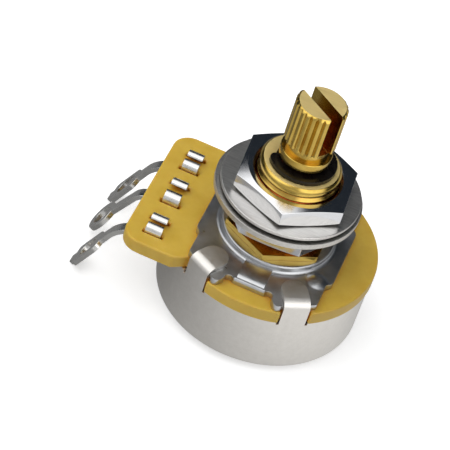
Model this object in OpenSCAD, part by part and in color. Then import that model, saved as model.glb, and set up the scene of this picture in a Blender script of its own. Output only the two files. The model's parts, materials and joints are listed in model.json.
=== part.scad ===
// Panel potentiometer with a threaded bushing and a splined, split shaft.
// The frame stands on the shaft axis, +Z up the shaft, with z = 0 at the
// shoulder of the bushing flange. The terminals point to -X.
// All lengths are in millimetres.

/* [Cover] */
// Outside diameter of the drawn cover
cover_d = 24.3; // [23.3:0.1:26]
// Height of the cover from its rim to its back
cover_h = 7.75; // [7.25:0.25:12]
// Sheet thickness of the cover
cover_wall = 0.5; // [0.4:0.05:0.6]
// Outside radius of the edge round the back
cover_edge_r = 1; // [0.8:0.1:1.8]
// Width of each fold-over tab
tab_w = 3.1; // [2.5:0.1:3.6]
// How far a folded tab reaches in over the plate
tab_reach = 3.95; // [3.35:0.05:4.3]
// Outside radius of the fold of each tab
tab_bend_r = 1.3; // [0.8:0.05:1.5]

/* [Plate and board] */
// Sheet thickness of the mounting plate
plate_t = 0.8; // [0.6:0.1:1.2]
// Width of the plate across the shaft
plate_w = 16.8; // [16.4:0.1:17.6]
// Height of the round boss that the bushing sits on
boss_h = 0.85; // [0.5:0.05:1.2]
// Outside radius of the boss
boss_r = 6.75; // [6.6:0.05:6.9]
// Thickness of the moulded base board
board_t = 1.8; // [1.4:0.1:2.6]
// How far the terminal end reaches out past the cover
board_over = 3.55; // [3.2:0.05:6]
// Width of the terminal end
board_w = 20.1; // [18.5:0.25:21]
// Radius of the two outer corners of the board
board_corner_r = 2.25; // [1.5:0.25:5]

/* [Bushing] */
// Major diameter of the bushing thread
bush_d = 9.5; // [9:0.1:9.6]
// Length of the bushing above its flange
bush_len = 9.5; // [8.6:0.1:10.2]
// Width across the flats of the flange
flange_af = 11.3; // [11:0.1:11.8]
// Thickness of the flange
flange_t = 0.75; // [0.5:0.05:1.2]
// Spacing of the thread ridges
thread_pitch = 0.8; // [0.7:0.05:1]
// Depth of the thread ridges
thread_depth = 0.4; // [0.2:0.05:0.5]

/* [Shaft] */
// Diameter of the shaft
shaft_d = 6; // [5.6:0.1:6.2]
// Height of the shaft tip above the flange
shaft_len = 18.5; // [17.5:0.5:32]
// Length of the splined end
spline_len = 5.55; // [4:0.25:6]
// Number of spline teeth
spline_teeth = 24; // [18:1:36]
// Depth of the spline grooves
spline_depth = 0.24; // [0.1:0.02:0.3]
// Width of the slot that splits the splined end
slot_w = 1.6; // [0.8:0.1:2]
// Depth of the slot
slot_depth = 5.7; // [3:0.1:6.2]
// Direction of the slot, seen from above
slot_angle = -36; // [-180:1:180]
// Diameter of the neck below the splines
neck_d = 5; // [4.4:0.1:5.2]
// Length of the neck below the splines
neck_len = 1.3; // [0.6:0.1:1.6]

/* [Hardware] */
// Width across the flats of both nuts
nut_af = 12.7; // [12:0.1:14]
// Thickness of both nuts
nut_t = 2.4; // [2:0.1:2.6]
// Height of the lower nut above the flange
lower_nut_z = 1.35; // [0.8:0.05:1.5]
// Direction of one corner of the upper nut
upper_nut_angle = 34.3; // [0:0.1:60]
// Direction of one corner of the lower nut
lower_nut_angle = 1.4; // [0:0.1:60]
// Outside diameter of the lock washer
lock_d = 17.3; // [16.5:0.1:19]
// Thickness of the rim of the lock washer
lock_t = 0.7; // [0.5:0.05:0.9]
// Number of twisted teeth in the lock washer
lock_teeth = 12; // [10:1:14]
// Width of the ring of the flat washer
washer_w = 3.25; // [2.6:0.05:3.8]
// Thickness of the flat washer
washer_t = 0.4; // [0.3:0.05:0.8]

/* [Terminals] */
// Distance between neighbouring terminals
terminal_pitch = 6.1; // [5.8:0.1:6.4]
// Sheet thickness of the terminals
lug_t = 0.6; // [0.4:0.05:0.7]
// Width of the arm of a solder lug
lug_w = 1.4; // [1.2:0.1:2]
// Length of an end lug below its bend, to the end of the eyelet
lug_len = 6.5; // [6:0.1:8.5]
// Angle of the end lugs below the horizontal
lug_slope = 62.5; // [40:0.5:85]
// Outside width of the long eyelet of an end lug
eyelet_w = 3.25; // [2.9:0.05:3.8]
// Width of the long solder hole of an end lug
eyelet_hole_w = 2.05; // [1.4:0.05:2.3]
// Outside diameter of the round eyelet of the wiper lug
wiper_eye_d = 4.2; // [3.6:0.1:4.8]
// Diameter of the round solder hole of the wiper lug
wiper_hole_d = 2.5; // [1.6:0.1:2.8]

/* [Rotor] */
// Gap between the rim of the rotor disc and the wall of the cover
rotor_gap = 2.25; // [2.1:0.05:2.9]
// Thickness of the rotor disc
rotor_t = 1.2; // [0.8:0.1:2]
// Gap between the base board and the rotor disc
rotor_drop = 2.1; // [1.9:0.05:2.4]
// Half angle of the stop lug on the rotor, and of the stop in the cover
stop_half_angle = 13; // [8:0.5:14]
// Distance from the wall of the cover to the middle of the track
track_inset = 2.65; // [2.5:0.05:2.8]
// Width of the resistive track
track_w = 2.2; // [1.4:0.1:2.4]

/* [Hidden] */
$fn = 96;

// Clearances
run_clear = 0.05;      // shaft in its bore, and faces that turn on each other
seat_clear = 0.05;     // pieces that drop over or through one another
thread_clear = 0.05;   // nut over thread crests
washer_play = 0.25;    // washer bore over the thread
over = 1;              // how far a cutting tool runs past a face
lap = 0.01;            // how far an arm laps into its bend

// Heights of the stack, from the shoulder down
z_boss = -flange_t;
z_plate = z_boss - boss_h;
z_plate_low = z_plate - plate_t;
z_board = z_plate_low;
z_board_low = z_board - board_t;
z_back = z_board_low - cover_h;
z_swage = z_boss - plate_t - 0.7;
z_thrust = z_swage - run_clear;
thrust_t = 0.3;
z_hub = z_thrust - thrust_t - run_clear;
z_rotor = z_board_low - rotor_drop;
z_rotor_low = z_rotor - rotor_t;

// Heights of the hardware on the bushing
z_lower_nut_top = lower_nut_z + nut_t;
tooth_rise = 1.4;
z_flat_washer = z_lower_nut_top + tooth_rise;
z_upper_nut = z_flat_washer + washer_t;
washer_shift = -0.18;
lock_shift = -0.3;

// Radii
shaft_r = shaft_d / 2;
bore_r = shaft_r + run_clear;
bush_r = bush_d / 2;
washer_bore_r = bush_r + washer_play;
washer_r = washer_bore_r + washer_w;
lock_bore_r = bush_r - lock_shift + seat_clear;
cover_r = cover_d / 2;
cover_in_r = cover_r - cover_wall;
board_r = cover_r + 0.18;
board_reach = cover_r + board_over;
spigot_r = bush_r - 0.5; // the bushing where it passes through the plate
swage_r = 5.2;
hub_r = 3.6;
board_hole_r = hub_r + 0.4;
drive_r = 2.4;
drive_flat = 1.9;      // half distance between the two drive flats of the shaft

// Cover tabs, and the notches for them
tab_angles = [60, 120, -60, -120];
notch_half = tab_w / 2 + seat_clear;   // in the plate
slot_half = tab_w / 2 + 0.2;           // in the board
low_rim_drop = 1.4;    // the rim is lower below the terminals
low_rim_half = 42;
stop_in = 1.8;         // how far the stop of the cover reaches in

// Mounting plate
plate_end = cover_r - 2;    // its two ends between the tabs
ear_r = 0.6;
ear_out = sqrt(pow(cover_r - ear_r, 2) - pow(notch_half + ear_r, 2));
scallop_x = 2.4;
scallop_r = 0.55;

// Retaining clip and its groove
clip_t = 0.55;
clip_gap_half = 40;    // half angle of its opening
clip_gap_dir = 172;    // direction of its opening
clip_in_r = 2.4;
clip_out_r = 3.95;
groove_r = 2.3;
z_clip = bush_len + run_clear;
z_groove_top = z_clip + clip_t + 0.5;

// Terminals: clinched legs, then the bend of each lug
leg_w = 1.95;
leg_t = 0.4;
leg_x = -cover_r - 0.35;
end_legs = [2, 0.95];          // how far the outer faces of the two legs lie
wiper_legs = [2.3, 1.55];      // to -Y and +Y of the middle of the terminal
end_curls = [0.85, 0.7];       // outside radii of the two curled ends
wiper_curls = [1, 0.75];
leg_rises = [0, 0.35];         // straight part of each leg above the board
leg_sweeps = [105, 150];       // how far each end is curled over
end_bend_r = 4.3;      // radius of the upper face in the bend of the lug
wiper_bend_r = 2.3;
end_bend_x = 1.8 - board_reach;
wiper_bend_x = 0.5 - board_reach;
wiper_slope = lug_slope - 3;
wiper_eye_s = lug_len - 0.65;   // from the end of the bend to the middle of the eyelet
tongue_w = 2.6;        // strips that run in to the track and the collector

// Rotor, resistive element and its contacts
rotor_r = cover_in_r - rotor_gap;
track_r = cover_in_r - track_inset;
element_t = 0.3;
z_element_low = z_board_low - element_t;
brush_r = 0.75;
brush_h = 0.65;
spring_t = 0.3;
collector_in_r = board_hole_r + 0.4;
collector_out_r = collector_in_r + 1.2;

function polar(r, a) = [r * cos(a), r * sin(a)];

// A washer blank: r_out and r_in are its radii, from z up by h
module ring(r_out, r_in, z, h) {
    translate([0, 0, z])
        rotate_extrude()
            translate([r_in, 0]) square([r_out - r_in, h]);
}

// A hexagon across the flats, with one corner towards angle
module hexagon(af, angle) {
    rotate(angle) circle(r = af / 2 / cos(30), $fn = 6);
}

// A stadium along X from x0 to x1, both ends round
module stadium(x0, x1, r) {
    translate([x0, -r]) square([x1 - x0, 2 * r]);
    translate([x0, 0]) circle(r = r);
    translate([x1, 0]) circle(r = r);
}

// The profile of one cover tab in radius and height: up the wall, round the
// bend and in over the plate
module tab_profile() {
    z_top = z_plate + cover_wall;
    z_foot = z_board_low - seat_clear;
    bend_x = cover_r - tab_bend_r;
    difference() {
        union() {
            translate([cover_in_r, z_foot]) square([cover_wall, z_top - tab_bend_r - z_foot]);
            translate([bend_x, z_top - tab_bend_r]) circle(r = tab_bend_r);
            translate([cover_r - tab_reach, z_top - cover_wall]) square([tab_reach - tab_bend_r, cover_wall]);
        }
        translate([bend_x, z_top - tab_bend_r]) circle(r = tab_bend_r - cover_wall);
        translate([bend_x - tab_reach, z_top - cover_wall - tab_reach]) square(tab_reach);
        translate([cover_in_r - tab_reach, z_top - tab_bend_r - tab_reach]) square(tab_reach);
    }
}

module cover_tab(angle) {
    rotate(angle) intersection() {
        rotate([90, 0, 0]) linear_extrude(tab_w, center = true) tab_profile();
        translate([0, 0, z_back]) linear_extrude(-z_back) union() {
            translate([cover_r - tab_reach + tab_w / 2, 0]) circle(r = tab_w / 2);
            translate([cover_r - tab_reach + tab_w / 2, -tab_w]) square([tab_reach, 2 * tab_w]);
        }
        cylinder(r = cover_r, h = -2 * z_back, center = true);
    }
}

// The drawn cup: a wall, a round edge and a back
module cover_shell() {
    rotate_extrude() difference() {
        translate([0, z_back]) {
            square([cover_r - cover_edge_r, cover_h]);
            translate([0, cover_edge_r]) square([cover_r, cover_h - cover_edge_r]);
            translate([cover_r - cover_edge_r, cover_edge_r]) circle(r = cover_edge_r);
        }
        translate([0, z_back + cover_wall]) {
            inner_edge_r = cover_edge_r - cover_wall;
            square([cover_in_r - inner_edge_r, cover_h + over]);
            translate([0, inner_edge_r]) square([cover_in_r, cover_h + over]);
            translate([cover_in_r - inner_edge_r, inner_edge_r]) circle(r = inner_edge_r);
        }
        translate([-over - cover_d, z_back - over]) square([over + cover_d, cover_h + 3 * over]);
    }
}

module cover() {
    relief = 0.3;
    color("gainsboro") {
        difference() {
            cover_shell();
            // the rim is lower where the terminals pass over it
            translate([0, 0, z_board_low - low_rim_drop])
                rotate(180 - low_rim_half) rotate_extrude(angle = 2 * low_rim_half)
                    translate([cover_r - 2, 0]) square([2 + over, low_rim_drop + over]);
            // relief nicks beside each tab
            for (a = tab_angles, s = [-1, 1])
                rotate(a) translate([cover_r, s * (tab_w + relief) / 2, z_board_low])
                    cube([4 * cover_wall, relief, 2 * relief], center = true);
        }
        for (a = tab_angles) cover_tab(a);
        // the tongue bent in from the low rim, which stops the rotor
        translate([0, 0, z_board_low - low_rim_drop - cover_wall])
            rotate(180 - stop_half_angle) rotate_extrude(angle = 2 * stop_half_angle)
                translate([cover_in_r - stop_in, 0]) square([stop_in + cover_wall / 2, cover_wall]);
    }
}

// One side step of the plate, from the wide middle to the waist: a round
// outward corner at y, then a round inward one, on the +X side
module side_step(x_wide, x_waist, y, r) {
    outer = [x_wide - r, y];
    inner = [x_waist + r, y + sqrt(4 * r * r - pow(2 * r - x_wide + x_waist, 2))];
    difference() {
        polygon([[0, y - over], [outer[0], y - over], outer, (outer + inner) / 2, [x_waist, inner[1]],
                 [0, inner[1]]]);
        translate(inner) circle(r = r);
    }
    intersection() {
        translate(outer) circle(r = r);
        translate([0, y - r]) square([x_wide, 2 * r]);
    }
}

// The outline of the mounting plate, seen from above
module plate_outline() {
    half_w = plate_w / 2;
    waist = half_w - 0.6;
    wide_y = 4.3;
    step_r = 1;
    corner_x = 0.35 * cover_r;    // the four corners reach in to here
    difference() {
        union() {
            intersection() {
                union() {
                    square([2 * half_w, 2 * wide_y], center = true);
                    square([2 * waist, cover_d], center = true);
                    for (s = [-1, 1], t = [-1, 1]) scale([t, s])
                        side_step(half_w, waist, wide_y, step_r);
                }
                circle(r = cover_r - 0.4);
                // both ends are set back between the tabs
                union() {
                    square([cover_d, 2 * plate_end], center = true);
                    for (s = [-1, 1]) translate([s * (cover_r + corner_x) / 2, 0])
                        square([cover_r - corner_x, cover_d], center = true);
                }
            }
            // a round ear hugs each tab
            for (a = tab_angles) rotate(a) scale([1, a * (90 - abs(a)) > 0 ? 1 : -1]) {
                translate([plate_end - 1, notch_half]) square([ear_out - plate_end + 1, 2 * ear_r]);
                translate([ear_out, notch_half + ear_r]) circle(r = ear_r);
            }
        }
        // a scallop lies between each ear and the middle
        for (s = [-1, 1], t = [-1, 1])
            translate([t * scallop_x, s * (plate_end + scallop_r / 2)]) circle(r = scallop_r);
        // the cover tabs come up through the edge
        for (a = tab_angles) rotate(a)
            translate([cover_r - tab_bend_r, -notch_half]) square(2 * notch_half);
    }
}

module mounting_plate() {
    fillet_r = 0.6 * boss_h;
    edge_r = 0.3 * boss_h;
    foot_r = boss_r + fillet_r;
    strip_w = 3.3;
    strip_h = 0.3;
    roll_r = 1.2;
    roll_y = plate_end - 1.05;
    roll_w = 2 * (scallop_x - scallop_r);
    bump_r = 1.45;
    bump_h = 0.4;
    bump_ball_r = (bump_r * bump_r + bump_h * bump_h) / 2 / bump_h;
    color("silver") difference() {
        union() {
            translate([0, 0, z_plate_low]) linear_extrude(plate_t) plate_outline();
            // the boss, with a hollow foot and a round edge
            rotate_extrude() {
                difference() {
                    translate([0, z_plate - plate_t / 2]) square([foot_r, plate_t / 2 + fillet_r]);
                    translate([foot_r, z_plate + fillet_r]) circle(r = fillet_r);
                }
                translate([0, z_plate]) square([boss_r, boss_h - edge_r]);
                translate([0, z_plate]) square([boss_r - edge_r, boss_h]);
                translate([boss_r - edge_r, z_boss - edge_r]) circle(r = edge_r);
            }
            // raised strips that run out to the two ends
            translate([-strip_w / 2, -plate_end, z_plate - plate_t / 2])
                cube([strip_w, 2 * plate_end, plate_t / 2 + strip_h]);
            // one round embossed bump
            intersection() {
                translate([6.7, -5.3, z_plate + bump_h - bump_ball_r]) sphere(r = bump_ball_r);
                translate([0, 0, z_plate - plate_t / 4]) linear_extrude(plate_t) plate_outline();
            }
        }
        // the outer end of each strip is rolled down
        for (s = [-1, 1]) scale([1, s, 1]) difference() {
            translate([-roll_w / 2, roll_y, z_plate + strip_h - roll_r]) cube([roll_w, 2 * roll_r, 2 * roll_r]);
            translate([0, roll_y, z_plate + strip_h - roll_r]) rotate([0, 90, 0])
                cylinder(r = roll_r, h = 3 * strip_w, center = true);
        }
        // hollow under the boss, where the bushing is swaged over
        translate([0, 0, z_boss - plate_t]) mirror([0, 0, 1])
            cylinder(r1 = boss_r - 0.75, r2 = boss_r - 0.35, h = boss_h + over);
        cylinder(r = spigot_r + seat_clear, h = 2 * over - 2 * z_plate_low, center = true);
    }
}

// The outline of the base board: a disc with a broad terminal end
module board_outline() {
    corner_y = board_w / 2 - board_corner_r;
    root_x = -0.45 * cover_r;
    difference() {
        union() {
            circle(r = board_r);
            translate([-board_reach + board_corner_r, -board_w / 2])
                square([board_reach - board_corner_r + root_x, board_w]);
            for (s = [-1, 1])
                translate([-board_reach + board_corner_r, s * corner_y]) circle(r = board_corner_r);
            translate([-board_reach, -corner_y]) square([board_corner_r, 2 * corner_y]);
        }
        difference() {
            union() {
                // slots for the cover tabs
                for (a = tab_angles) rotate(a)
                    translate([cover_in_r - 2 * seat_clear, -slot_half]) square(2 * slot_half);
                // the terminal end turns in to the two tabs beside it
                for (s = [-1, 1]) scale([1, s])
                    polygon([[-0.6 * cover_r, 0.72 * cover_r], [-0.75 * cover_r, board_w / 2],
                             [-0.75 * cover_r, board_w], [root_x + over, board_w], [root_x + over, board_r]]);
            }
            circle(r = cover_in_r - seat_clear);
        }
    }
}

// Slots in the board for the two legs of a terminal
module leg_slots(y, legs) {
    for (leg_y = [-legs[0] + leg_t / 2, legs[1] - leg_t / 2])
        translate([leg_x, y + leg_y, z_board])
            cube([leg_w + 0.5, leg_t + 0.12, 4 * board_t], center = true);
}

module base_board() {
    color("goldenrod") difference() {
        translate([0, 0, z_board_low]) linear_extrude(board_t) board_outline();
        translate([0, 0, z_board_low - over]) cylinder(r = board_hole_r, h = board_t + 2 * over);
        for (y = [-terminal_pitch, terminal_pitch]) leg_slots(y, end_legs);
        leg_slots(0, wiper_legs);
    }
}

// The thread grooves, as closed rings cut into the wall of the bushing
module thread_grooves() {
    turns = floor((bush_len - 0.9) / thread_pitch);
    for (i = [0 : turns - 1])
        translate([bush_r, 0.9 + i * thread_pitch])
            polygon([[over, -thread_pitch * 0.42 - over * 0.5], [0, -thread_pitch * 0.42], [-thread_depth, 0],
                     [0, thread_pitch * 0.42], [over, thread_pitch * 0.42 + over * 0.5]]);
}

module bushing() {
    chamfer = 0.3;
    color("khaki") {
        difference() {
            translate([0, 0, -flange_t]) linear_extrude(flange_t) hexagon(flange_af, 30);
            cylinder(r = bore_r, h = 4 * flange_t, center = true);
        }
        rotate_extrude() difference() {
            polygon([[bore_r, z_swage], [swage_r, z_swage], [swage_r, z_swage + 0.4],
                     [swage_r - 0.3, z_boss - plate_t], [spigot_r, z_boss - plate_t],
                     [spigot_r, z_boss], [bush_r, -flange_t / 2],
                     [bush_r, bush_len - chamfer], [bush_r - chamfer, bush_len], [bore_r, bush_len]]);
            thread_grooves();
        }
    }
}

// One nut with chamfered corners and a countersunk hole
module nut(angle) {
    corner_r = nut_af / 2 / cos(30);
    face_r = nut_af / 2 - 0.5;
    rise = (corner_r - face_r) * tan(15);
    hole_r = bush_r + thread_clear;
    sink = 0.45;
    difference() {
        intersection() {
            linear_extrude(nut_t) hexagon(nut_af, angle);
            rotate_extrude() polygon([[0, 0], [face_r, 0], [corner_r, rise], [corner_r, nut_t - rise],
                                      [face_r, nut_t], [0, nut_t]]);
        }
        rotate_extrude() polygon([[0, -over], [hole_r + sink + over, -over], [hole_r, sink],
                                  [hole_r, nut_t - sink], [hole_r + sink + over, nut_t + over], [0, nut_t + over]]);
    }
}

module lower_nut() {
    color("lightsteelblue") translate([0, 0, lower_nut_z]) nut(lower_nut_angle);
}

module upper_nut() {
    color("lightsteelblue") translate([0, 0, z_upper_nut]) nut(upper_nut_angle);
}

// A lock washer whose inner teeth are twisted out of the plane of the rim
module lock_washer() {
    rim_w = 2;
    twist = 32;
    tooth_share = 0.62;    // of the pitch of the teeth
    rim_in_r = lock_d / 2 - rim_w;
    tooth_w = 2 * PI * lock_bore_r / lock_teeth * tooth_share;
    tooth_len = rim_in_r - lock_bore_r;
    z_mid = z_lower_nut_top + tooth_rise / 2;
    tooth_t = 0.45;
    color("silver") translate([lock_shift, 0, z_mid]) difference() {
        union() {
            rotate_extrude() translate([rim_in_r, -lock_t / 2]) square([rim_w, lock_t]);
            for (i = [0 : lock_teeth - 1])
                rotate(i * 360 / lock_teeth) translate([lock_bore_r - 0.2, 0, 0]) rotate([twist, 0, 0])
                    translate([0, -tooth_w / 2, -tooth_t / 2]) cube([tooth_len + 0.5, tooth_w, tooth_t]);
        }
        cylinder(r = lock_bore_r, h = 2 * tooth_rise + 2 * over, center = true);
        for (s = [-1, 1]) translate([0, 0, s * (tooth_rise / 2 + over)])
            cube([lock_d, lock_d, 2 * over], center = true);
    }
}

module flat_washer() {
    edge = 0.08;
    color("silver") translate([washer_shift, 0, z_flat_washer]) rotate_extrude()
        polygon([[washer_bore_r, 0], [washer_r, 0], [washer_r, washer_t - edge],
                 [washer_r - edge, washer_t], [washer_bore_r, washer_t]]);
}

// The splined end, with its slot
module splined_end() {
    z0 = shaft_len - spline_len;
    edge = 0.3;
    difference() {
        translate([0, 0, z0]) linear_extrude(spline_len) difference() {
            circle(r = shaft_r);
            for (i = [0 : spline_teeth - 1]) rotate((i + 0.5) * 360 / spline_teeth)
                translate([shaft_r - spline_depth, 0])
                    polygon([[0, 0], [2 * spline_depth, 2 * spline_depth * 0.9],
                             [2 * spline_depth, -2 * spline_depth * 0.9]]);
        }
        // a small bevel round the tip
        translate([0, 0, shaft_len]) rotate_extrude()
            polygon([[shaft_r - edge, 0], [shaft_r - edge, over], [shaft_r + over, over], [shaft_r + over, -edge - over]]);
        rotate(slot_angle) translate([-shaft_d, -slot_w / 2, shaft_len - slot_depth])
            cube([2 * shaft_d, slot_w, slot_depth + over]);
    }
}

module shaft() {
    z_neck = shaft_len - spline_len - neck_len;
    z_rivet = z_rotor_low - 0.5;
    color("khaki") {
        splined_end();
        difference() {
            rotate_extrude() polygon([[0, z_hub], [shaft_r, z_hub],
                [shaft_r, z_clip - run_clear], [groove_r, z_clip - run_clear], [groove_r, z_groove_top],
                [shaft_r, z_groove_top], [shaft_r, z_neck - 0.06], [shaft_r - 0.06, z_neck],
                [neck_d / 2, z_neck], [neck_d / 2, z_neck + neck_len - 0.2],
                [neck_d / 2 + 0.2, z_neck + neck_len], [0, z_neck + neck_len]]);
            rotate(slot_angle) translate([-shaft_d, -slot_w / 2, shaft_len - slot_depth])
                cube([2 * shaft_d, slot_w, slot_depth + over]);
        }
        // drive flats through the rotor, and the staked end below it
        translate([0, 0, z_rotor_low]) linear_extrude(z_hub - z_rotor_low) drive_outline(0);
        translate([0, 0, z_rivet]) cylinder(r1 = drive_r, r2 = drive_r + 0.7, h = z_rotor_low - z_rivet);
    }
}

// Round bar with two flats, grown by clear
module drive_outline(clear) {
    intersection() {
        circle(r = drive_r + clear);
        square([2 * drive_r + 1, 2 * (drive_flat + clear)], center = true);
    }
}

module retaining_clip() {
    mid_r = (clip_in_r + clip_out_r) / 2;
    end_r = (clip_out_r - clip_in_r) / 2 - 0.03;
    gap_reach = 1.5 * clip_out_r;
    color("dimgray") translate([0, 0, z_clip]) linear_extrude(clip_t) {
        difference() {
            circle(r = clip_out_r);
            circle(r = clip_in_r);
            rotate(clip_gap_dir)
                polygon([[0, 0], polar(gap_reach, clip_gap_half), polar(gap_reach, -clip_gap_half)]);
        }
        for (s = [-1, 1]) rotate(clip_gap_dir + s * clip_gap_half)
            translate([mid_r, 0]) circle(r = end_r);
    }
}

// The profile of one leg in distance and height: up through the board from its
// outer face at 0, then curled over
module leg_profile(rise, r, sweep) {
    translate([0, z_board_low - lug_t]) square([leg_t, board_t + lug_t + rise]);
    translate([r, z_board + rise]) intersection() {
        difference() {
            circle(r = r);
            circle(r = r - leg_t);
        }
        polygon([[0, 0], polar(2 * r, 180), polar(2 * r, 180 - sweep / 2), polar(2 * r, 180 - sweep)]);
    }
}

// A terminal at y: a foot under the board, two legs clinched over it, and an
// arm that bends down from x_bend at the given slope, its outline as children
module terminal(y, legs, curls, x_bend, bend_r, slope) {
    z_centre = z_board_low - bend_r;
    translate([0, y, 0]) {
        // foot and arm under the board
        translate([leg_x - leg_w / 2, -legs[0], z_board_low - lug_t]) cube([leg_w, legs[0] + legs[1], lug_t]);
        translate([x_bend, -lug_w / 2, z_board_low - lug_t]) cube([leg_x - x_bend, lug_w, lug_t]);
        // the legs are curled towards each other
        for (i = [0, 1]) scale([1, 1 - 2 * i, 1]) translate([leg_x, -legs[i], 0]) rotate([90, 0, 90])
            linear_extrude(leg_w, center = true) leg_profile(leg_rises[i], curls[i], leg_sweeps[i]);
        // the bend
        translate([x_bend, 0, z_centre]) rotate([90, 0, 0]) rotate(90) rotate_extrude(angle = slope)
            translate([bend_r - lug_t, -lug_w / 2]) square([lug_t, lug_w]);
        // the sloping arm with its eyelet
        translate([x_bend, 0, z_centre]) rotate([0, -slope, 0]) translate([0, 0, bend_r - lug_t])
            mirror([1, 0, 0]) linear_extrude(lug_t) children();
    }
}

// An end lug from the end of its bend: an arm, a long eyelet and a stub
module end_lug_outline() {
    eye_s = lug_len - 5;
    near_r = 1.1;
    far_r = 0.7;
    stub_w = 1.2;
    stub_len = 0.8;
    hole_r = eyelet_hole_w / 2;
    difference() {
        union() {
            translate([-lap, -lug_w / 2]) square([eye_s + near_r + lap, lug_w]);
            translate([eye_s + near_r, -eyelet_w / 2]) square([lug_len - eye_s - near_r - far_r, eyelet_w]);
            translate([eye_s, near_r - eyelet_w / 2]) square([near_r, eyelet_w - 2 * near_r]);
            translate([lug_len - far_r, far_r - eyelet_w / 2]) square([far_r, eyelet_w - 2 * far_r]);
            for (s = [-1, 1]) {
                translate([eye_s + near_r, s * (eyelet_w / 2 - near_r)]) circle(r = near_r);
                translate([lug_len - far_r, s * (eyelet_w / 2 - far_r)]) circle(r = far_r);
            }
            translate([lug_len - far_r, -stub_w / 2]) square([far_r + stub_len, stub_w]);
        }
        stadium(eye_s + 0.9 + hole_r, lug_len - 1.05 - hole_r, hole_r);
    }
}

// The wiper lug from the end of its bend: an arm and a round eyelet
module wiper_lug_outline() {
    difference() {
        union() {
            translate([-lap, -lug_w / 2]) square([wiper_eye_s + lap, lug_w]);
            translate([wiper_eye_s, 0]) circle(d = wiper_eye_d);
        }
        translate([wiper_eye_s, 0]) circle(d = wiper_hole_d);
    }
}

// A strip that runs in from the foot of a terminal at y to the radius r
module inner_strip(y, r) {
    translate([leg_x, y - tongue_w / 2, z_board_low - lug_t]) cube([-leg_x - r, tongue_w, lug_t - element_t]);
}

// An end terminal, whose strip clamps the resistive element to the board
module end_terminal(y) {
    color("lightgray") {
        terminal(y, end_legs, end_curls, end_bend_x, end_bend_r, lug_slope) end_lug_outline();
        inner_strip(y, track_r - 0.2);
    }
}

module ccw_terminal() {
    end_terminal(-terminal_pitch);
}

module cw_terminal() {
    end_terminal(terminal_pitch);
}

module wiper_terminal() {
    color("lightgray") {
        terminal(0, wiper_legs, wiper_curls, wiper_bend_x, wiper_bend_r, wiper_slope) wiper_lug_outline();
        inner_strip(0, collector_out_r - 0.3);
    }
}

// The track: a horseshoe with a pad at each end, which faces the rotor
module resistive_element() {
    gap_half = terminal_pitch - tongue_w / 2 - 1.4;
    pad_w = tongue_w + 1.2;
    pad_x = cover_in_r - 0.65;
    color("dimgray") translate([0, 0, z_element_low]) linear_extrude(element_t) difference() {
        union() {
            circle(r = track_r + track_w / 2);
            for (s = [-1, 1]) intersection() {
                translate([-pad_x, s * terminal_pitch - pad_w / 2]) square([pad_x / 2, pad_w]);
                circle(r = cover_in_r - 0.3);
            }
        }
        circle(r = track_r - track_w / 2);
        translate([-2 * track_r, -gap_half]) square([2 * track_r, 2 * gap_half]);
    }
}

module collector_ring() {
    color("khaki") ring(collector_out_r, collector_in_r, z_board_low - element_t, element_t);
}

// The moulded rotor: hub, disc and stop lug
module rotor() {
    color("saddlebrown") difference() {
        union() {
            translate([0, 0, z_rotor_low]) cylinder(r = rotor_r, h = rotor_t);
            translate([0, 0, z_rotor_low]) cylinder(r = hub_r, h = z_hub - z_rotor_low);
            translate([0, 0, z_rotor_low]) rotate(-stop_half_angle)
                rotate_extrude(angle = 2 * stop_half_angle)
                    translate([rotor_r - 0.8, 0])
                        square([rotor_gap + 0.4, z_board_low - low_rim_drop - z_rotor_low]);
        }
        translate([0, 0, z_rotor_low - over]) linear_extrude(z_hub - z_rotor_low + 2 * over)
            drive_outline(0.03);
    }
}

// The contact spring: a ring on the rotor with one arm up to the brush and
// one finger up to the collector
module contact_spring() {
    base_r = track_r - 2.4;
    arm_w = 1.5;
    z_brush_low = z_element_low - run_clear - brush_h;
    z_collector = z_board_low - element_t - run_clear;
    tip_r = collector_in_r + 0.4;
    color("khaki") {
        ring(base_r, hub_r + seat_clear, z_rotor, spring_t);
        // arm to the brush
        translate([0, arm_w / 2, 0]) rotate([90, 0, 0]) linear_extrude(arm_w)
            polygon([[base_r - 0.8, z_rotor], [base_r - 0.2, z_rotor],
                     [track_r - 0.9, z_brush_low - spring_t], [track_r + 0.9, z_brush_low - spring_t],
                     [track_r + 0.9, z_brush_low], [track_r - 1, z_brush_low], [base_r - 0.8, z_rotor + spring_t]]);
        // finger to the collector, struck out of the ring on the other side
        rotate(180) translate([0, arm_w / 2, 0]) rotate([90, 0, 0]) linear_extrude(arm_w)
            polygon([[base_r - 0.8, z_rotor], [base_r - 0.2, z_rotor + spring_t / 2], [tip_r + 0.3, z_collector - 0.1],
                     [tip_r, z_collector], [tip_r - 0.3, z_collector - spring_t]]);
    }
}

module contact_brush() {
    color("black") translate([track_r, 0, z_element_low - run_clear - brush_h])
        cylinder(r = brush_r, h = brush_h);
}

module thrust_washer() {
    color("white") ring(hub_r, bore_r + seat_clear, z_thrust - thrust_t, thrust_t);
}

cover();
mounting_plate();
base_board();
bushing();
shaft();
retaining_clip();
lower_nut();
lock_washer();
flat_washer();
upper_nut();
ccw_terminal();
wiper_terminal();
cw_terminal();
resistive_element();
collector_ring();
rotor();
contact_spring();
contact_brush();
thrust_washer();
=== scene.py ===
import json
import math

import bpy
from mathutils import Matrix, Vector


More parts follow.
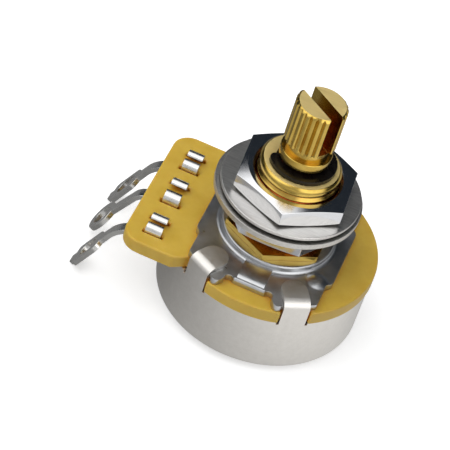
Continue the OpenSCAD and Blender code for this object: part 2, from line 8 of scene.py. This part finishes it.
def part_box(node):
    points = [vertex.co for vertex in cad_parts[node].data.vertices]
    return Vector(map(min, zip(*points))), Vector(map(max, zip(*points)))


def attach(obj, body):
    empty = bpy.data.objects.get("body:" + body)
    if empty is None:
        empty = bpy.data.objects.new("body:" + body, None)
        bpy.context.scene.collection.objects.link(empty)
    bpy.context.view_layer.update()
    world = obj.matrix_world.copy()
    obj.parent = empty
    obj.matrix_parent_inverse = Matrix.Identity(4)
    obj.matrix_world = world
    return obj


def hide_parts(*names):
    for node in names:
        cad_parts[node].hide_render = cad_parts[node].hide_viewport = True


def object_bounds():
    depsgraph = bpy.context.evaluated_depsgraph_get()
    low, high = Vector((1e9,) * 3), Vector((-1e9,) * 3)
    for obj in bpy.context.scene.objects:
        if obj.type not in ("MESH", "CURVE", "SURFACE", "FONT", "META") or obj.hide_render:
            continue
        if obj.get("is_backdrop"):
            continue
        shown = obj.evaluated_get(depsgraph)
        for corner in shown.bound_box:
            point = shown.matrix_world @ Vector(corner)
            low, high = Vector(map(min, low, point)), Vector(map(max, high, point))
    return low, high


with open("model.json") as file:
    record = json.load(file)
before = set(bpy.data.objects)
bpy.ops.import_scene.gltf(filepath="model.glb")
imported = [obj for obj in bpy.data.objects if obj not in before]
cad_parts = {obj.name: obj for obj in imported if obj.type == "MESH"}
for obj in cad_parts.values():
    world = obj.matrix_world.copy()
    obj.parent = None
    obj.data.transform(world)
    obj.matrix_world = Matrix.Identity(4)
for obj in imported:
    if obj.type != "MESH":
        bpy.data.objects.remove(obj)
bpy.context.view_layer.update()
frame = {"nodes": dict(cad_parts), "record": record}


# The camera looks down on the tip of the shaft from the front, rolled so that
# the shaft leans to the right, as the part lies in its picture.
MM = 0.001
azimuth, elevation, roll = math.radians(5), math.radians(41.534), math.radians(19.871)
aim = Vector((0, 0, 5.55)) * MM
distance = 287.39 * MM
focal_px, frame_px = 2543.2, 450
centre_px = (293.33, 186.42)
to_camera = Vector((math.sin(azimuth) * math.cos(elevation),
                    -math.cos(azimuth) * math.cos(elevation),
                    math.sin(elevation)))
level_right = Vector((math.cos(azimuth), math.sin(azimuth), 0))
level_up = to_camera.cross(level_right)
camera_right = level_right * math.cos(roll) + level_up * math.sin(roll)
camera_up = level_up * math.cos(roll) - level_right * math.sin(roll)
lens = bpy.data.cameras.new("camera")
camera = bpy.data.objects.new("camera", lens)
bpy.context.scene.collection.objects.link(camera)
camera.matrix_world = (Matrix.Translation(aim + to_camera * distance)
                       @ Matrix((camera_right, camera_up, to_camera)).transposed().to_4x4())
lens.sensor_width = 36
lens.lens = focal_px / frame_px * lens.sensor_width
lens.shift_x = 0.5 - centre_px[0] / frame_px
lens.shift_y = centre_px[1] / frame_px - 0.5
lens.clip_start = 10 * MM
bpy.context.scene.camera = camera
bpy.context.scene.view_settings.view_transform = "Standard"


# The studio: a broad square softbox overhead to the left, a smaller white panel
# to the right, a pale room in front and a dark one behind. Metal mirrors the
# white paper below as bright to the front right and dim to the back left.
def srgb(hex_colour):
    """A colour written as sRGB hex, as the linear value that a socket takes."""
    parts = [int(hex_colour[i:i + 2], 16) / 255 for i in (1, 3, 5)]
    return (*(c / 12.92 if c <= 0.04045 else ((c + 0.055) / 1.055) ** 2.4 for c in parts), 1.0)


def add_node(tree, kind, settings=None, inputs=None):
    """Adds a node with its own settings; inputs are values, or the sockets that feed it."""
    node = tree.nodes.new(kind)
    for name, value in (settings or {}).items():
        setattr(node, name, value)
    for key, value in (inputs or {}).items():
        if isinstance(value, bpy.types.NodeSocket):
            tree.links.new(value, node.inputs[key])
        else:
            node.inputs[key].default_value = value
    return node


def paper_brightness(tree, towards):
    """How bright metal mirrors the paper in a direction: it rises along paper_slope, up to white."""
    gain = add_node(tree, "ShaderNodeVectorMath", {"operation": "DOT_PRODUCT"},
                    {0: towards, 1: paper_slope})
    bright = add_node(tree, "ShaderNodeMapRange", {},
                      {"Value": gain.outputs["Value"],
                       "From Min": paper_darkest - paper_level, "From Max": 1 - paper_level,
                       "To Min": paper_darkest, "To Max": 1.0})
    return bright.outputs[0]


def shade_by_ray(tree, lights, mirrored, seen):
    """One shader for the rays that light the part, one for those it mirrors, one for the camera's."""
    rays = add_node(tree, "ShaderNodeLightPath")
    shade = add_node(tree, "ShaderNodeMixShader",
                     inputs={0: rays.outputs["Is Glossy Ray"], 1: lights.outputs[0],
                             2: mirrored.outputs[0]})
    return add_node(tree, "ShaderNodeMixShader",
                    inputs={0: rays.outputs["Is Camera Ray"], 1: shade.outputs[0],
                            2: seen.outputs[0]})


# The softbox, with its size and distance in metres, lights the part. Metal mirrors
# the world instead, where the softbox and the panel have soft rims.
lamp_direction, panel_direction = Vector((-0.406, -0.051, 0.913)), Vector((0.67, -0.33, 0.663))
lamp_size, lamp_distance, lamp_glow = 0.35, 0.25, 1.5
softbox = bpy.data.lights.new("overhead_softbox", "AREA")
softbox.size = lamp_size
softbox.energy = lamp_glow * math.pi * lamp_size ** 2
softbox_stand = bpy.data.objects.new("overhead_softbox", softbox)
softbox_stand.location = lamp_direction * lamp_distance
softbox_stand.rotation_euler = lamp_direction.to_track_quat("Z", "Y").to_euler()
softbox_stand.visible_glossy = False
bpy.context.scene.collection.objects.link(softbox_stand)

world = bpy.data.worlds.new("studio")
bpy.context.scene.world = world
world.use_nodes = True
tree = world.node_tree
tree.nodes.clear()
direction = add_node(tree, "ShaderNodeTexCoord").outputs["Generated"]
along = add_node(tree, "ShaderNodeSeparateXYZ", inputs={0: direction})

# Each lamp is a round patch: it ends at rim and is at its full glow from core,
# both in degrees from its middle.
patches = []
for towards, rim, core in ((lamp_direction, 41, 30), (panel_direction, 33, 22)):
    nearness = add_node(tree, "ShaderNodeVectorMath", {"operation": "DOT_PRODUCT"},
                        {0: direction, 1: towards})
    patches.append(add_node(tree, "ShaderNodeMapRange", {"interpolation_type": "SMOOTHSTEP"},
                            {"Value": nearness.outputs["Value"],
                             "From Min": math.cos(math.radians(rim)),
                             "From Max": math.cos(math.radians(core)),
                             "To Min": 0.0, "To Max": lamp_glow}))
lamps = add_node(tree, "ShaderNodeMath", {"operation": "MAXIMUM"},
                 {0: patches[0].outputs[0], 1: patches[1].outputs[0]})

# The paper fills what lies below the horizon, and the pale front wall rises over
# it. Horizon and wall are given as the Z and Y of a direction of length 1.
paper_level, paper_slope, paper_darkest = 0.59, (0.45, -0.38, 0), 0.24
horizon_low, horizon_high = 0.02, 0.2
wall_back, wall_front, wall_glow = 0.1, -0.55, 0.62
dark_room = (0.018, 0.023, 0.03)
below = add_node(tree, "ShaderNodeMapRange", {"interpolation_type": "SMOOTHSTEP"},
                 {"Value": along.outputs["Z"], "From Min": horizon_low, "From Max": horizon_high,
                  "To Min": 1.0, "To Max": 0.0})
above = add_node(tree, "ShaderNodeMath", {"operation": "SUBTRACT"}, {0: 1.0, 1: below.outputs[0]})
wall = add_node(tree, "ShaderNodeMapRange", {"interpolation_type": "SMOOTHSTEP"},
                {"Value": along.outputs["Y"], "From Min": wall_back, "From Max": wall_front,
                 "To Min": 0.0, "To Max": wall_glow})
glow = add_node(tree, "ShaderNodeMath", {"operation": "MULTIPLY_ADD"},
                {0: paper_brightness(tree, direction), 1: below.outputs[0], 2: lamps.outputs[0]})
glow = add_node(tree, "ShaderNodeMath", {"operation": "MULTIPLY_ADD"},
                {0: wall.outputs[0], 1: above.outputs[0], 2: glow.outputs[0]})
room = add_node(tree, "ShaderNodeVectorMath", {"operation": "ADD"}, {0: dark_room, 1: glow.outputs[0]})
fill_light = add_node(tree, "ShaderNodeBackground", inputs={"Color": srgb("#F6F7F9"), "Strength": 0.47})
mirrored = add_node(tree, "ShaderNodeBackground", inputs={"Color": room.outputs[0], "Strength": 1.0})
white = add_node(tree, "ShaderNodeBackground", inputs={"Color": srgb("#FFFFFF"), "Strength": 1.0})
sky = shade_by_ray(tree, fill_light, mirrored, white)
add_node(tree, "ShaderNodeOutputWorld", inputs={"Surface": sky.outputs[0]})


# The floor: a sheet of matt white paper, 6 m wide. The part lies on it on the rim
# of its can and the tips of its lugs. It is see-through from beneath, for a look
# at the underside of the part.
lug_tips, can_rim = Vector((-21.2, 0, -13.29)), Vector((11.15, 0, -11.97))
floor_width = 6
part_height = 12 * MM
bpy.ops.object.select_all(action="DESELECT")
bpy.ops.mesh.primitive_plane_add(size=floor_width)
floor = bpy.context.object
floor.name = "floor"
floor_lean = math.atan2(can_rim.z - lug_tips.z, can_rim.x - lug_tips.x)
floor.matrix_world = Matrix.Translation(can_rim * MM) @ Matrix.Rotation(-floor_lean, 4, "Y")
paper = bpy.data.materials.new("matt_white_paper")
paper.use_nodes = True
tree = paper.node_tree
tree.nodes.clear()
place = add_node(tree, "ShaderNodeTexCoord").outputs["Object"]
from_part = add_node(tree, "ShaderNodeVectorMath", {"operation": "ADD"},
                     {0: place, 1: (0, 0, part_height)})
outward = add_node(tree, "ShaderNodeVectorMath", {"operation": "NORMALIZE"}, {0: from_part.outputs[0]})
lit = add_node(tree, "ShaderNodeBsdfDiffuse", inputs={"Color": srgb("#EDEDED")})
whitener = add_node(tree, "ShaderNodeEmission", inputs={"Color": srgb("#FFFFFF"), "Strength": 0.45})
lit_white = add_node(tree, "ShaderNodeAddShader", inputs={0: lit.outputs[0], 1: whitener.outputs[0]})
mirrored = add_node(tree, "ShaderNodeEmission",
                    inputs={"Color": srgb("#FFFFFF"),
                            "Strength": paper_brightness(tree, outward.outputs[0])})
from_above = shade_by_ray(tree, lit, mirrored, lit_white)
from_below = add_node(tree, "ShaderNodeBsdfTransparent")
side = add_node(tree, "ShaderNodeNewGeometry")
sheet = add_node(tree, "ShaderNodeMixShader",
                 inputs={0: side.outputs["Backfacing"], 1: from_above.outputs[0],
                         2: from_below.outputs[0]})
add_node(tree, "ShaderNodeOutputMaterial", inputs={"Surface": sheet.outputs[0]})
floor.data.materials.append(paper)
floor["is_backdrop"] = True


# The cover: a can drawn from thin steel strip, dull tin plated, with four tabs
# folded in over the plate to hold the control together. Its cut edges are
# barely broken.
def break_edges(piece, node, width, segments=2, angle=28, smooth=25, clamp=True):
    """Breaks the edges that turn by over angle degrees, and lets the piece stand for a CAD node.

    The width is in mm. Edges that turn by less than smooth degrees are shaded smooth."""
    bevel = piece.modifiers.new("broken_edges", "BEVEL")
    bevel.width = width * MM
    bevel.segments = segments
    bevel.limit_method = "ANGLE"
    bevel.use_clamp_overlap = clamp
    bevel.angle_limit = math.radians(angle)
    bpy.ops.object.modifier_apply(modifier=bevel.name)
    bpy.ops.object.shade_smooth_by_angle(angle=math.radians(smooth))
    flats = piece.modifiers.new("true_flats", "WEIGHTED_NORMAL")
    flats.keep_sharp = True
    bpy.ops.object.modifier_apply(modifier=flats.name)
    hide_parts(node)
    bodies = frame["record"]["behaviour"]["bodies"]
    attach(piece, next(body for body, names in bodies.items() if node in names))


def rounded_copy(node, width, **edges):
    """A merged copy of a CAD node, finished by break_edges."""
    source = frame["nodes"][node]
    bpy.ops.object.select_all(action="DESELECT")
    piece = bpy.data.objects.new(node + "_finished", source.data.copy())
    bpy.context.scene.collection.objects.link(piece)
    piece.select_set(True)
    bpy.context.view_layer.objects.active = piece
    bpy.ops.object.mode_set(mode="EDIT")
    bpy.ops.mesh.select_all(action="SELECT")
    bpy.ops.mesh.remove_doubles(threshold=0.01 * MM)
    bpy.ops.mesh.dissolve_limited(angle_limit=math.radians(0.5))
    bpy.ops.object.mode_set(mode="OBJECT")
    piece.data.materials.clear()
    break_edges(piece, node, width, **edges)
    return piece


def start_material(name, metallic=0):
    """A new material, its node tree and shader, and the place on the object in mm.

    The scale of a pattern on that place is thus the number of its marks in a mm."""
    material = bpy.data.materials.new(name)
    material.use_nodes = True
    tree = material.node_tree
    shader = tree.nodes["Principled BSDF"]
    shader.inputs["Metallic"].default_value = metallic
    place = add_node(tree, "ShaderNodeTexCoord").outputs["Object"]
    in_mm = add_node(tree, "ShaderNodeVectorMath", {"operation": "SCALE"}, {0: place, "Scale": 1 / MM})
    return material, tree, shader, in_mm.outputs[0]


def vary(tree, shader, noise, colours, roughness):
    """Lets a noise, which mostly keeps within 0.3 to 0.7, shift a colour and a roughness between two.

    A single roughness is the same all over. The tint is returned for what may colour it further."""
    tint = add_node(tree, "ShaderNodeMix", {"data_type": "RGBA"},
                    {"Factor": noise.outputs[0], 6: srgb(colours[0]), 7: srgb(colours[1])})
    tree.links.new(tint.outputs[2], shader.inputs["Base Color"])
    if isinstance(roughness, tuple):
        dulling = add_node(tree, "ShaderNodeMapRange", {},
                           {"Value": noise.outputs[0], "From Min": 0.3, "From Max": 0.7,
                            "To Min": roughness[0], "To Max": roughness[1]})
        tree.links.new(dulling.outputs[0], shader.inputs["Roughness"])
    else:
        shader.inputs["Roughness"].default_value = roughness
    return tint.outputs[2]


# Dull tin on drawn steel: warm light grey, softly mottled, and finely grained.
# The grain is drawn 0.14 mm wide, several times its real width, so that it shows.
tin_plate, tree, shader, place = start_material("dull_tin_plated_steel", metallic=1)
mottle = add_node(tree, "ShaderNodeTexNoise", {},
                  {"Vector": place, "Scale": 1.4, "Detail": 6.0, "Roughness": 0.75})
vary(tree, shader, mottle, ("#CFCBC4", "#ECE9E4"), (0.32, 0.48))
grain = add_node(tree, "ShaderNodeTexNoise", {}, {"Vector": place, "Scale": 7.0, "Detail": 3.0})
relief = add_node(tree, "ShaderNodeBump", {},
                  {"Strength": 0.25, "Distance": 0.012 * MM, "Height": grain.outputs[0]})
tree.links.new(relief.outputs[0], shader.inputs["Normal"])

cover = rounded_copy("cover", 0.05, segments=3)
cover.data.materials.append(tin_plate)


# The base board: one moulding of yellow phenolic that closes the can and
# carries the terminals, with soft moulded edges.
def paint_recess_light(tree, shader, surface, painted_recess_colour, reach, closed, open_air):
    """Paints light and shade into the colour of a recess, by the share of open air that a place has
    within reach in mm.
    """
    air = add_node(tree, "ShaderNodeAmbientOcclusion", {"samples": 8}, {"Distance": reach * MM})
    openness = add_node(tree, "ShaderNodeMapRange", {},
                        {"Value": air.outputs["AO"], "From Min": closed, "From Max": open_air,
                         "To Min": 0.0, "To Max": 1.0})
    colour = add_node(tree, "ShaderNodeMix", {"data_type": "RGBA"},
                      {"Factor": openness.outputs[0], 6: srgb(painted_recess_colour), 7: surface})
    tree.links.new(colour.outputs[2], shader.inputs["Base Color"])


# Phenolic resin: yellow amber, and a little light goes in and glows out again. The
# orange of its recesses is painted glow, mixed into the colour by how closed in a
# place is. Satin, with the 0.2 mm grain of a blasted mould.
phenolic, tree, shader, place = start_material("moulded_amber_phenolic")
shader.inputs["IOR"].default_value = 1.6
shader.inputs["Subsurface Weight"].default_value = 0.35
shader.inputs["Subsurface Radius"].default_value = (1.0, 0.6, 0.08)
shader.inputs["Subsurface Scale"].default_value = 0.9 * MM
flow = add_node(tree, "ShaderNodeTexNoise", {},
                {"Vector": place, "Scale": 0.5, "Detail": 4.0, "Roughness": 0.6})
tint = vary(tree, shader, flow, ("#C29A26", "#DABA4C"), (0.38, 0.5))
# Painted glow: the colour of the recesses is mixed towards orange.
paint_recess_light(tree, shader, tint, "#C67F12", reach=1.5, closed=0.25, open_air=0.8)
grain = add_node(tree, "ShaderNodeTexNoise", {}, {"Vector": place, "Scale": 5.0, "Detail": 3.0})
relief = add_node(tree, "ShaderNodeBump", {},
                  {"Strength": 0.3, "Distance": 0.01 * MM, "Height": grain.outputs[0]})
tree.links.new(relief.outputs[0], shader.inputs["Normal"])

board = rounded_copy("base_board", 0.26, segments=3, clamp=False)
board.data.materials.append(phenolic)


# The mounting plate: blanked and coined from steel strip, bright zinc plated,
# with a raised boss, strips rolled down at both ends and one embossed bump.
# Its face is left bare.

# Bright zinc: a grey mirror, clouded by handling, with fine rolling lines. They
# are drawn 0.17 mm apart, several times their real spacing, so that they show.
zinc_plate, tree, shader, place = start_material("bright_zinc_plated_steel", metallic=1)
clouds = add_node(tree, "ShaderNodeTexNoise", {},
                  {"Vector": place, "Scale": 0.7, "Detail": 5.0, "Roughness": 0.6})
vary(tree, shader, clouds, ("#A6A8AA", "#D2D3D5"), (0.27, 0.4))
rolled = add_node(tree, "ShaderNodeMapping", inputs={"Vector": place, "Scale": (6, 0.5, 6)})
lines = add_node(tree, "ShaderNodeTexNoise", {},
                 {"Vector": rolled.outputs[0], "Scale": 1.0, "Detail": 2.0})
relief = add_node(tree, "ShaderNodeBump", {},
                  {"Strength": 0.25, "Distance": 0.01 * MM, "Height": lines.outputs[0]})
tree.links.new(relief.outputs[0], shader.inputs["Normal"])

plate = rounded_copy("mounting_plate", 0.1, angle=45, smooth=40)
plate.data.materials.append(zinc_plate)


# The bushing: turned from hexagonal brass bar, threaded outside and bored
# through, then swaged over behind the plate.

# Turned brass: greenish gold, with tool marks round its axis, and a painted reddish
# reflection of itself mixed into the colour of its recesses. The tool marks are
# drawn 0.2 mm apart, at two to four times the real feed, so that they show.
turned_brass, tree, shader, place = start_material("turned_brass", metallic=1)
stains = add_node(tree, "ShaderNodeTexNoise", {},
                  {"Vector": place, "Scale": 0.9, "Detail": 4.0, "Roughness": 0.6})
tint = vary(tree, shader, stains, ("#A88636", "#D8BC66"), (0.13, 0.25))
# Painted reflection: the colour of the recesses is mixed towards a redder brass.
paint_recess_light(tree, shader, tint, "#BC5A26", reach=2.5, closed=0.12, open_air=0.5)
tool_marks = add_node(tree, "ShaderNodeTexWave", {"wave_type": "BANDS", "bands_direction": "Z"},
                      {"Vector": place, "Scale": 1.6, "Distortion": 0.6, "Detail": 1.0})
relief = add_node(tree, "ShaderNodeBump", {},
                  {"Strength": 0.15, "Distance": 0.008 * MM, "Height": tool_marks.outputs["Fac"]})
tree.links.new(relief.outputs[0], shader.inputs["Normal"])

# Faced brass: the ends, as the parting tool left them, paler and duller, with
# coarse scores one way, about 0.14 mm wide.
faced_brass, tree, shader, place = start_material("faced_brass", metallic=1)
drawn_out = add_node(tree, "ShaderNodeMapping",
                     inputs={"Vector": place, "Rotation": (0, 0, math.radians(36)),
                             "Scale": (0.4, 7, 1)})
scores = add_node(tree, "ShaderNodeTexNoise", {},
                  {"Vector": drawn_out.outputs[0], "Scale": 1.0, "Detail": 3.0})
vary(tree, shader, scores, ("#EED488", "#FFEEB4"), (0.58, 0.78))
relief = add_node(tree, "ShaderNodeBump", {},
                  {"Strength": 0.5, "Distance": 0.05 * MM, "Height": scores.outputs[0]})
tree.links.new(relief.outputs[0], shader.inputs["Normal"])


def face_ends(piece, end):
    """Gives the level faces at the end of a piece, a height in mm, its second material."""
    for face in piece.data.polygons:
        if face.normal.z > 0.99 and face.center.z > (end - 0.2) * MM:
            face.material_index = 1


def turned(name, profile):
    """A closed profile of radius and height in mm, spun round the shaft axis in round_steps."""
    bpy.ops.object.select_all(action="DESELECT")
    bpy.ops.mesh.primitive_plane_add(size=MM)
    piece = bpy.context.object
    piece.name = name
    bpy.ops.object.mode_set(mode="EDIT")
    bpy.ops.mesh.select_all(action="SELECT")
    bpy.ops.mesh.merge(type="CENTER")
    start_r, start_z = profile[0]
    bpy.ops.transform.translate(value=Vector((start_r, 0, start_z)) * MM)
    for (r, z), (next_r, next_z) in zip(profile, profile[1:] + profile[:1]):
        step = Vector((next_r - r, 0, next_z - z)) * MM
        bpy.ops.mesh.extrude_region_move(TRANSFORM_OT_translate={"value": step})
    bpy.ops.mesh.select_all(action="SELECT")
    bpy.ops.mesh.spin(steps=round_steps, angle=2 * math.pi, center=(0, 0, 0), axis=(0, 0, 1))
    bpy.ops.mesh.select_all(action="SELECT")
    bpy.ops.mesh.remove_doubles(threshold=0.001 * MM)
    bpy.ops.mesh.normals_make_consistent(inside=False)
    bpy.ops.object.mode_set(mode="OBJECT")
    return piece


def with_bar(piece, operation, sides, radius, low, high, corner=30):
    """Joins a turned piece with a bar on its axis, cuts the bar out, or keeps only what lies in it.

    The bar is added with a corner at 30 degrees, and turned until it is at corner."""
    bpy.ops.object.select_all(action="DESELECT")
    bpy.ops.mesh.primitive_cylinder_add(
        vertices=sides, radius=radius * MM, depth=(high - low) * MM,
        location=(0, 0, (low + high) / 2 * MM), rotation=(0, 0, math.radians(corner - 30)))
    bar = bpy.context.object
    cut = piece.modifiers.new("bar", "BOOLEAN")
    cut.operation = operation
    cut.object = bar
    bpy.context.view_layer.objects.active = piece
    piece.select_set(True)
    bpy.ops.object.modifier_apply(modifier=cut.name)
    bpy.data.objects.remove(bar)


def corner_radius(across_flats):
    """From the middle of a hexagon to its corners."""
    return across_flats / 2 / math.cos(math.pi / 6)


round_steps = 180
thread_r, thread_pitch, thread_depth = 4.75, 0.8, 0.4
thread_low, thread_turns, groove_share = 0.9, 10, 0.42
bore_r, pilot_r, barrel_h, chamfer = 3.05, 1.5, 9.5, 0.3
flange_af, flange_t, plate_t, plate_hole_r = 11.3, 0.75, 0.8, 4.25
swage_low, swage_t, swage_r, swage_foot_r = -2.25, 0.4, 5.2, 4.9
plate_back = -flange_t - plate_t
profile = [(pilot_r, swage_low), (swage_r, swage_low), (swage_r, swage_low + swage_t),
           (swage_foot_r, plate_back), (plate_hole_r, plate_back), (plate_hole_r, -flange_t),
           (thread_r, -flange_t / 2)]
for turn in range(thread_turns):
    z = thread_low + turn * thread_pitch
    half = groove_share * thread_pitch
    profile += [(thread_r, z - half), (thread_r - thread_depth, z), (thread_r, z + half)]
profile += [(thread_r, barrel_h - chamfer), (thread_r - chamfer, barrel_h), (pilot_r, barrel_h)]
bushing = turned("bushing_finished", profile)
with_bar(bushing, "UNION", 6, corner_radius(flange_af), -flange_t, 0)
with_bar(bushing, "DIFFERENCE", round_steps, bore_r, swage_low - 1, barrel_h + 1)
bpy.ops.object.mode_set(mode="EDIT")
bpy.ops.mesh.select_all(action="SELECT")
bpy.ops.mesh.remove_doubles(threshold=0.001 * MM)
bpy.ops.object.mode_set(mode="OBJECT")
break_edges(bushing, "bushing", 0.03)
bushing.data.materials.append(turned_brass)
bushing.data.materials.append(faced_brass)
face_ends(bushing, barrel_h)


# The shaft: turned from brass bar, its end splined, slotted so that it springs
# in a knob, and grooved above the bushing for the clip.
shaft_tip = 18.5
shaft = rounded_copy("shaft", 0.03)
shaft.data.materials.append(turned_brass)
shaft.data.materials.append(faced_brass)
face_ends(shaft, shaft_tip)


# The retaining clip: an open ring punched from spring steel, snapped into the
# groove of the shaft just above the bushing.

# Black oxide: a thin, oily, nearly black skin with a satin shine.
black_oxide, tree, shader, place = start_material("black_oxide_spring_steel")
shader.inputs["Specular IOR Level"].default_value = 0.3
oil = add_node(tree, "ShaderNodeTexNoise", {}, {"Vector": place, "Scale": 1.0, "Detail": 2.0})
vary(tree, shader, oil, ("#0A0807", "#15110E"), (0.22, 0.36))

clip = rounded_copy("retaining_clip", 0.06)
clip.data.materials.append(black_oxide)


# The two nuts: hexagon steel bar, drilled, tapped and chamfered on both faces,
# then bright nickel plated. They clamp the panel from both sides.

# Bright nickel: close to a mirror, faintly warm, with barely wavy faces.
nickel, tree, shader, place = start_material("bright_nickel_plate", metallic=1)
haze = add_node(tree, "ShaderNodeTexNoise", {},
                {"Vector": place, "Scale": 0.8, "Detail": 5.0, "Roughness": 0.65})
vary(tree, shader, haze, ("#D2D3D6", "#E2E2E3"), (0.09, 0.18))
waves = add_node(tree, "ShaderNodeTexNoise", {}, {"Vector": place, "Scale": 0.45, "Detail": 2.0})
relief = add_node(tree, "ShaderNodeBump", {},
                  {"Strength": 0.2, "Distance": 0.05 * MM, "Height": waves.outputs[0]})
tree.links.new(relief.outputs[0], shader.inputs["Normal"])

nut_af, face_inset, countersink, thread_gap, chamfer_angle = 12.7, 0.5, 0.45, 0.05, 15
hole_r, face_r, corner_r = thread_r + thread_gap, nut_af / 2 - face_inset, corner_radius(nut_af)
sunk_r, blank_r = hole_r + countersink, corner_r + 0.1
rise = (corner_r - face_r) * math.tan(math.radians(chamfer_angle))

# Each nut stands as it was screwed on, with a corner at its own angle.
for node, corner in (("lower_nut", 1.4), ("upper_nut", 34.3)):
    low, high = (corner_point[2] / MM for corner_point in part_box(node))
    nut = turned(node + "_finished", [
        (hole_r, low + countersink), (sunk_r, low), (face_r, low), (blank_r, low + rise),
        (blank_r, high - rise), (face_r, high), (sunk_r, high), (hole_r, high - countersink)])
    with_bar(nut, "INTERSECT", 6, corner_r, low - 1, high + 1, corner)
    break_edges(nut, node, 0.05, angle=20, smooth=12)
    nut.data.materials.append(nickel)


# The two washers: a toothed lock washer that bites the panel, and a flat washer
# between it and the upper nut. Both are blanked from steel strip and nickel
# plated over its rolling marks.

# Plated strip: light and mid grey, satin, with rolling lines one way. They are
# drawn 0.14 mm apart, several times their real spacing, so that they show.
washer_steel, tree, shader, place = start_material("nickel_plated_strip", metallic=1)
rolled = add_node(tree, "ShaderNodeMapping",
                  inputs={"Vector": place, "Rotation": (0, 0, math.radians(25)), "Scale": (0.5, 5, 3)})
lines = add_node(tree, "ShaderNodeTexNoise", {},
                 {"Vector": rolled.outputs[0], "Scale": 1.4, "Detail": 5.0, "Roughness": 0.7})
vary(tree, shader, lines, ("#A19E99", "#EEECE8"), (0.3, 0.44))
relief = add_node(tree, "ShaderNodeBump", {},
                  {"Strength": 0.45, "Distance": 0.012 * MM, "Height": lines.outputs[0]})
tree.links.new(relief.outputs[0], shader.inputs["Normal"])

for node, edge in (("lock_washer", 0.08), ("flat_washer", 0.04)):
    washer = rounded_copy(node, edge)
    washer.data.materials.append(washer_steel)


# The three terminals: blanked from brass strip, tinned, pushed up through the
# board and clinched over it, and bent down into solder lugs.

# Hot tin: soft grey, with the slow waves of a coat that ran before it set.
hot_tin, tree, shader, place = start_material("hot_tinned_brass", metallic=1)
runs = add_node(tree, "ShaderNodeTexNoise", {},
                {"Vector": place, "Scale": 1.1, "Detail": 4.0, "Roughness": 0.55})
vary(tree, shader, runs, ("#CCCBC7", "#ECEBE8"), (0.22, 0.36))
relief = add_node(tree, "ShaderNodeBump", {},
                  {"Strength": 0.3, "Distance": 0.015 * MM, "Height": runs.outputs[0]})
tree.links.new(relief.outputs[0], shader.inputs["Normal"])

for node in ("ccw_terminal", "wiper_terminal", "cw_terminal"):
    terminal = rounded_copy(node, 0.07)
    terminal.data.materials.append(hot_tin)


# The track and the collector ring: screened carbon on hard paper, and a
# silver-plated ring inside it, both held under the board by the terminals.
def dress(node, material):
    """Gives a CAD node that keeps its own mesh a material in all its slots."""
    piece = frame["nodes"][node]
    if not piece.material_slots:
        piece.data.materials.append(material)
    for slot in piece.material_slots:
        slot.material = material


# Screened carbon: matt black, with the 0.17 mm print of the screen's mesh.
carbon, tree, shader, place = start_material("screened_carbon")
mesh_print = add_node(tree, "ShaderNodeTexNoise", {}, {"Vector": place, "Scale": 6.0, "Detail": 3.0})
vary(tree, shader, mesh_print, ("#16171A", "#2E2F33"), 0.6)
dress("resistive_element", carbon)

# Silver plate: pale and warm, lightly tarnished.
silver, tree, shader, place = start_material("silver_plated_brass", metallic=1)
tarnish = add_node(tree, "ShaderNodeTexNoise", {}, {"Vector": place, "Scale": 0.8, "Detail": 4.0})
vary(tree, shader, tarnish, ("#C9C2AE", "#E6E1D2"), 0.28)
dress("collector_ring", silver)


# The rotor and its contacts: a brown phenolic disc staked to the shaft, with a
# bronze spring on it that presses a carbon button to the track.

# Brown phenolic: dark, satin, with faint flow lines.
brown_phenolic, tree, shader, place = start_material("moulded_brown_phenolic")
flow = add_node(tree, "ShaderNodeTexNoise", {}, {"Vector": place, "Scale": 0.6, "Detail": 4.0})
vary(tree, shader, flow, ("#4A2E1E", "#6B452D"), 0.45)
dress("rotor", brown_phenolic)

# Rolled phosphor bronze: reddish gold, with rolling lines along the strip, drawn
# 0.17 mm apart, which is coarser than they are.
bronze, tree, shader, place = start_material("rolled_phosphor_bronze", metallic=1)
rolled = add_node(tree, "ShaderNodeMapping", inputs={"Vector": place, "Scale": (0.6, 6, 2)})
lines = add_node(tree, "ShaderNodeTexNoise", {},
                 {"Vector": rolled.outputs[0], "Scale": 1.0, "Detail": 3.0})
vary(tree, shader, lines, ("#C08A55", "#DDB083"), 0.25)
dress("contact_spring", bronze)
dress("contact_brush", carbon)


# The thrust washer: a thin white nylon ring on the shaft, between the swaged end
# of the bushing and the rotor, so that the two don't rub.

# Nylon: milky white, waxy, lets some light in.
nylon, tree, shader, place = start_material("white_nylon")
shader.inputs["Subsurface Weight"].default_value = 0.3
shader.inputs["Subsurface Scale"].default_value = 0.5 * MM
wax = add_node(tree, "ShaderNodeTexNoise", {}, {"Vector": place, "Scale": 1.5, "Detail": 3.0})
vary(tree, shader, wax, ("#DAD8CF", "#ECEAE3"), 0.4)
dress("thrust_washer", nylon)


# The box of all that is shown of the part.
low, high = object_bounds()
